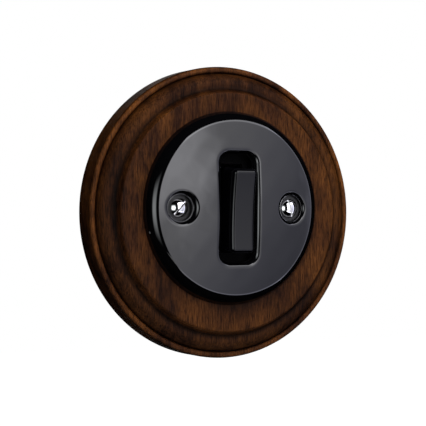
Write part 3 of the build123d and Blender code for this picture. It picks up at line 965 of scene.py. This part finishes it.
def main_glow(tree):
    """Wide panel: brightest at its upper left, dim at its lower right, brighter again at three edges."""
    left, top = panel_place(tree)
    lean = maths(tree, "MULTIPLY_ADD", left, MAIN_LEAN_LEFT, maths(tree, "MULTIPLY", top, MAIN_LEAN_UP))
    level = smooth(tree, lean, *MAIN_STEP)
    low = maths(tree, "SUBTRACT", 1.0, top)
    edges = maths(tree, "MULTIPLY", smooth(tree, top, *TOP_STEP), TOP_BRIGHT)
    edges = maths(tree, "MULTIPLY_ADD", smooth(tree, low, *LOW_STEP), LOW_BRIGHT, edges)
    right = smooth(tree, maths(tree, "SUBTRACT", 1.0, left), *RIGHT_STEP)
    edges = maths(tree, "MULTIPLY_ADD", right, RIGHT_BRIGHT, edges)
    tint = tree.nodes.new("ShaderNodeMix")
    tint.data_type = "RGBA"
    tree.links.new(level, tint.inputs[0])
    tint.inputs[6].default_value = rgb(*MAIN_DIM_TINT)
    tint.inputs[7].default_value = rgb(*MAIN_BRIGHT_TINT)
    inside = maths(tree, "MULTIPLY_ADD", level, MAIN_BRIGHT - MAIN_DIM, MAIN_DIM)
    inside = maths(tree, "ADD", inside, bright_corner(tree, left, top))
    return maths(tree, "ADD", inside, edges), tint.outputs[2]


def bright_corner(tree, left, top):
    """Extra light of the panel's upper left part, with an uneven edge."""
    cloud = tree.nodes.new("ShaderNodeTexNoise")
    cloud.inputs["Scale"].default_value = 7.0
    wobble = maths(tree, "MULTIPLY_ADD", cloud.outputs["Fac"], CORNER_WOBBLE, -CORNER_WOBBLE / 2)
    across = smooth(tree, maths(tree, "ADD", left, wobble), *CORNER_ACROSS_STEP)
    up = smooth(tree, maths(tree, "ADD", top, wobble), *CORNER_UP_STEP)
    return maths(tree, "MULTIPLY", maths(tree, "MULTIPLY", across, up), CORNER_BRIGHT - MAIN_BRIGHT)


def strip_glow(tree):
    """Tall strip that fades towards its ends and its sides."""
    left, top = panel_place(tree)
    fade = STRIP_BRIGHT
    for way, full in ((top, STRIP_END_FADE), (left, STRIP_SIDE_FADE)):
        for place in (way, maths(tree, "SUBTRACT", 1.0, way)):
            fade = maths(tree, "MULTIPLY", smooth(tree, place, 0.0, full), fade)
    return fade, rgb(0.96, 1.0, 1.02)


def lamp(name, azimuth, elevation, distance, size, watts):
    """Soft square lamp that faces the switch and lights it without showing in the glaze."""
    data = bpy.data.lights.new(name, "AREA")
    data.shape = "SQUARE"
    data.size = size
    data.energy = watts
    lamp_object = bpy.data.objects.new(name, data)
    lamp_object.location = direction(azimuth, elevation, distance)
    lamp_object.rotation_mode = "QUATERNION"
    lamp_object.rotation_quaternion = lamp_object.location.to_track_quat("Z", "Y")
    lamp_object.visible_glossy = False
    bpy.context.scene.collection.objects.link(lamp_object)


def flag_material():
    """Black cloth of the flags that stand beside the set."""
    material, tree = stage_material("flag_cloth")
    cloth = tree.nodes.new("ShaderNodeBsdfDiffuse")
    cloth.inputs["Color"].default_value = rgb(0.0, 0.0, 0.0)
    out = tree.nodes.new("ShaderNodeOutputMaterial")
    tree.links.new(cloth.outputs[0], out.inputs["Surface"])
    return material


def floor_material():
    """Pale floor that looks white to the camera and to mirrors, and keeps a soft shadow."""
    material, tree = stage_material("floor_paint")
    paint = tree.nodes.new("ShaderNodeBsdfDiffuse")
    paint.inputs["Color"].default_value = rgb(FLOOR_PAINT, FLOOR_PAINT, FLOOR_PAINT)
    lift = tree.nodes.new("ShaderNodeEmission")
    lift.inputs["Color"].default_value = rgb(1.0, 1.0, 1.0)
    both = tree.nodes.new("ShaderNodeAddShader")
    tree.links.new(paint.outputs[0], both.inputs[0])
    tree.links.new(lift.outputs[0], both.inputs[1])
    path = tree.nodes.new("ShaderNodeLightPath").outputs
    seen = maths(tree, "MAXIMUM", path["Is Camera Ray"], path["Is Glossy Ray"])
    tree.links.new(maths(tree, "MULTIPLY", seen, FLOOR_GLOW), lift.inputs["Strength"])
    out = tree.nodes.new("ShaderNodeOutputMaterial")
    tree.links.new(both.outputs[0], out.inputs["Surface"])
    return material


def make_world():
    """White to the camera, to mirrors and through glass, and a plain soft grey as light."""
    world = bpy.data.worlds.new("studio")
    bpy.context.scene.world = world
    world.use_nodes = True
    tree = world.node_tree
    tree.nodes.clear()
    path = tree.nodes.new("ShaderNodeLightPath").outputs
    seen = maths(tree, "MAXIMUM", path["Is Camera Ray"], path["Is Glossy Ray"])
    shown = maths(tree, "MAXIMUM", seen, path["Is Transmission Ray"])
    light = tree.nodes.new("ShaderNodeBackground")
    light.inputs["Color"].default_value = rgb(1.0, 1.0, 1.0)
    light.inputs["Strength"].default_value = FILL_LEVEL
    white = tree.nodes.new("ShaderNodeBackground")
    white.inputs["Color"].default_value = rgb(1.0, 1.0, 1.0)
    white.inputs["Strength"].default_value = 1.0
    choose = tree.nodes.new("ShaderNodeMixShader")
    tree.links.new(shown, choose.inputs[0])
    tree.links.new(light.outputs[0], choose.inputs[1])
    tree.links.new(white.outputs[0], choose.inputs[2])
    out = tree.nodes.new("ShaderNodeOutputWorld")
    tree.links.new(choose.outputs[0], out.inputs["Surface"])


def facing_card(name, azimuth, elevation, distance, half_across, half_up, material):
    """Card that faces the switch and covers given half angles, in degrees, as seen from it."""
    size = (
        2 * distance * math.tan(math.radians(half_across)),
        2 * distance * math.tan(math.radians(half_up)),
    )
    return card(name, direction(azimuth, elevation, distance), size, (0.0, 0.0, 0.0), material)


def make_stage():
    """Pale floor, the soft panels in front of the switch, black flags round the set, and lamps."""
    card("floor", (0.0, 0.0, FLOOR_Z), (FLOOR_SIZE, FLOOR_SIZE), (0.0, 0.0, 1.0), floor_material())
    glows = (glow_material("main_glow", main_glow), glow_material("strip_glow", strip_glow))
    cloth = flag_material()
    cards = [facing_card(*row, glow) for row, glow in zip(PANELS, glows)]
    cards += [facing_card(*row, cloth) for row in FLAGS]
    low_centre = (LOW_FLAG_SHIFT, LOW_FLAG_SHIFT, FLOOR_Z + LOW_FLAG_LIFT)
    straight_up = (LOW_FLAG_SHIFT, LOW_FLAG_SHIFT, 1.0)
    cards.append(card("flag_low", low_centre, (LOW_FLAG_SIZE, LOW_FLAG_SIZE), straight_up, cloth))
    for piece in cards:
        piece.visible_camera = False
        piece.visible_diffuse = False
        piece.visible_shadow = False
    for row in LAMPS:
        lamp(*row)


def make_camera():
    """Camera at the photograph's place, level, with no shift."""
    back = direction(math.degrees(CAMERA_TURN), math.degrees(CAMERA_RISE), 1.0)
    right = Vector((math.cos(CAMERA_TURN), math.sin(CAMERA_TURN), 0.0))
    up = back.cross(right)
    data = bpy.data.cameras.new("camera")
    data.sensor_width = SENSOR
    data.lens = FOCAL_PX / IMAGE_PX * SENSOR
    data.clip_start = 0.01
    data.clip_end = 50.0
    camera = bpy.data.objects.new("camera", data)
    place = back * CAMERA_DISTANCE + right * CAMERA_RIGHT + up * CAMERA_UP
    axes = Matrix((right, up, back)).transposed().to_4x4()
    camera.matrix_world = Matrix.Translation(place) @ axes
    bpy.context.scene.collection.objects.link(camera)
    bpy.context.scene.camera = camera


def dress(materials):
    """Gives every carried-over CAD node the finish of its slot, except the cap, which gets the darker finish
    of painted shade.
    """
    for row in frame["record"]["subparts"]:
        node = frame["nodes"][row["node"]]
        # The cap takes the darker finish, painted shade deep in the window
        finish = "painted_shade_cap" if row["node"] == "mechanism_cap" else row["material_slot"]
        node.data.materials.clear()
        node.data.materials.append(materials[finish])


def stand_in(piece, body, node):
    """Hangs a piece on the body it rides on and hides the CAD node that it stands in for."""
    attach(piece, body)
    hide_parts(node)


def main():
    materials = make_materials()
    dress(materials)
    stand_in(wooden_frame(materials["dark_wood"]), "fixed", "wooden_frame")
    stand_in(glazed_cover(materials["black_glaze"]), "fixed", "ceramic_cover")
    stand_in(rocker_key(materials["black_key"]), "key", "rocker_key")
    left = cover_screw("domed_screw_left", -1, LEFT_SLOT_DEG, materials["bright_screw"])
    stand_in(left, "fixed", "cover_screw_left")
    right = cover_screw("domed_screw_right", 1, RIGHT_SLOT_DEG, materials["bright_screw"])
    stand_in(right, "fixed", "cover_screw_right")
    make_world()
    make_stage()
    make_camera()
    bpy.context.scene.view_settings.view_transform = "Standard"


main()
